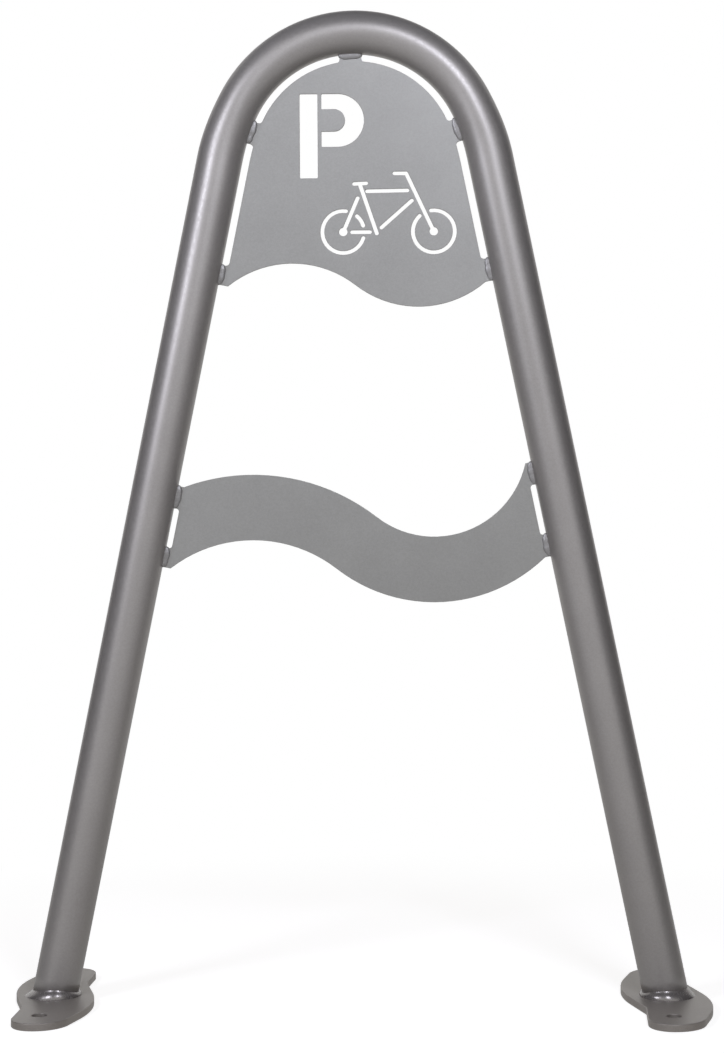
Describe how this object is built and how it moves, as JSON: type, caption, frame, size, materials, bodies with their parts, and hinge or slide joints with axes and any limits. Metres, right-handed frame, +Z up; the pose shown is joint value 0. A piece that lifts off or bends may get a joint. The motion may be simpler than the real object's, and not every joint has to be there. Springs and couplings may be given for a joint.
{
  "type": "bicycle parking stand",
  "caption": "Bent steel tube bicycle stand on two wavy base plates, with a stencilled parking sign sheet and a wave-shaped sheet welded between its legs.",
  "frame": {"origin": "on the ground, midway between the two feet, in the plane of the tube", "axes": "+Z up, +X across the stand from its left foot to its right foot as the sign is read, +Y away from the reader"},
  "size_m": [0.745, 0.253, 1.0553],
  "materials": {
    "coated_tube": "silver-grey metallic powder coat, satin, finely mottled",
    "coated_sheet": "silver-grey metallic powder coat, satin, finely mottled",
    "coated_plate": "silver-grey metallic powder coat over flame-cut plate",
    "coated_weld": "silver-grey powder coat over an unground weld bead, glossier on its ripples"
  },
  "bodies": {
    "root": {"frame_tube": "coated_tube", "sign_sheet": "coated_sheet", "wave_sheet": "coated_sheet", "base_plate_left": "coated_plate", "base_plate_right": "coated_plate", "foot_weld_left": "coated_weld", "foot_weld_right": "coated_weld", "sign_weld_lower_left_front": "coated_weld", "sign_weld_lower_left_back": "coated_weld", "sign_weld_upper_left_front": "coated_weld", "sign_weld_upper_left_back": "coated_weld", "sign_weld_top_front": "coated_weld", "sign_weld_top_back": "coated_weld", "sign_weld_upper_right_front": "coated_weld", "sign_weld_upper_right_back": "coated_weld", "sign_weld_lower_right_front": "coated_weld", "sign_weld_lower_right_back": "coated_weld", "wave_weld_lower_left_front": "coated_weld", "wave_weld_lower_left_back": "coated_weld", "wave_weld_upper_left_front": "coated_weld", "wave_weld_upper_left_back": "coated_weld", "wave_weld_upper_right_front": "coated_weld", "wave_weld_upper_right_back": "coated_weld", "wave_weld_lower_right_front": "coated_weld", "wave_weld_lower_right_back": "coated_weld"}
  },
  "joints": []
}
